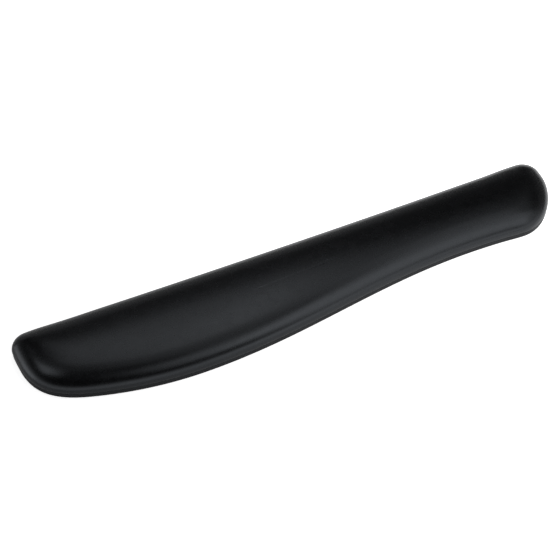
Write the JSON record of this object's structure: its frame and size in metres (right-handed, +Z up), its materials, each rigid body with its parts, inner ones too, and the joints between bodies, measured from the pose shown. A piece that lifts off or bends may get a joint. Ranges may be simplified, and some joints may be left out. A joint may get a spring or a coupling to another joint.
{
  "type": "wrist rest",
  "caption": "Long low wrist rest: soft gel pad in a smooth black cover on a rigid base with rubber feet; straight back edge, wavy front edge.",
  "frame": {"origin": "on the desk, under the middle of the bounding box", "axes": "+X along the pad towards the user's right hand, +Y away from the user towards the keyboard, +Z up"},
  "size_m": [0.446, 0.0864, 0.019],
  "materials": {
    "cover": "black soft-touch leatherette, satin, very fine grain",
    "gel": "soft translucent gel",
    "foam": "fine open-cell foam",
    "board": "grey-brown fibreboard",
    "adhesive": "black double-sided film",
    "base": "black moulded plastic, fine spark texture",
    "feet": "matt black rubber"
  },
  "bodies": {
    "root": {"cover_skin": "cover", "gel_pad": "gel", "foam_core": "foam", "backing_board": "board", "adhesive_sheet": "adhesive", "base_plate": "base", "foot_front_left": "feet", "foot_front_centre": "feet", "foot_front_right": "feet", "foot_back_left": "feet", "foot_back_centre": "feet", "foot_back_right": "feet"}
  },
  "joints": []
}
